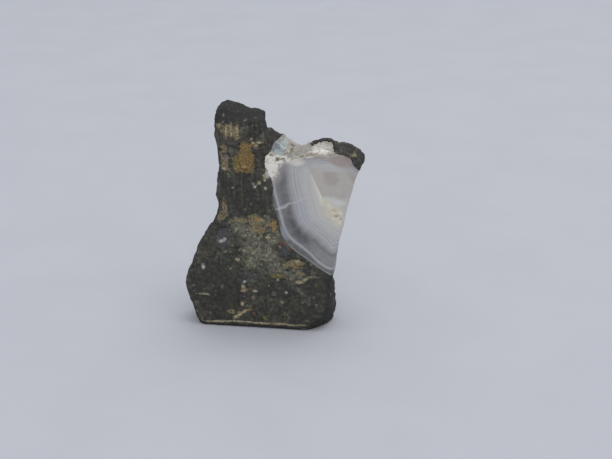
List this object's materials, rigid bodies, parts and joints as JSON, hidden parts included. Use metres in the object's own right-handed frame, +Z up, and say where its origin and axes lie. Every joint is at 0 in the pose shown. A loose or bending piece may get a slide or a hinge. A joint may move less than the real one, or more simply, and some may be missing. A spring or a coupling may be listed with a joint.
{
  "type": "agate in andesite specimen",
  "caption": "Sawn and broken block of dark volcanic rock, flat in front and underneath, whose front cuts through a banded agate nodule with a crust of white quartz.",
  "frame": {"origin": "middle of the block's plan, at the level of the sawn foot it stands on", "axes": "+Z up along the tall side of the block, -Y out of the sawn front face that shows the agate, +X towards the agate's side, to the right as seen from the front"},
  "size_m": [0.048, 0.019, 0.0614],
  "materials": {
    "andesite": "fine-grained dark grey to olive rock, matt, sawn in front, broken and lumpy elsewhere, with tan, ochre and white altered grains",
    "agate": "translucent banded chalcedony, pale lavender grey with a dark grey outer band and a bright rim, smooth with a soft gloss",
    "quartz_crust": "white to cream, coarse and sugary, with little brown pits"
  },
  "bodies": {
    "root": {"andesite_host_rock": "andesite", "andesite_roof_remnant": "andesite", "banded_agate": "agate", "white_quartz_crust": "quartz_crust"}
  },
  "joints": []
}
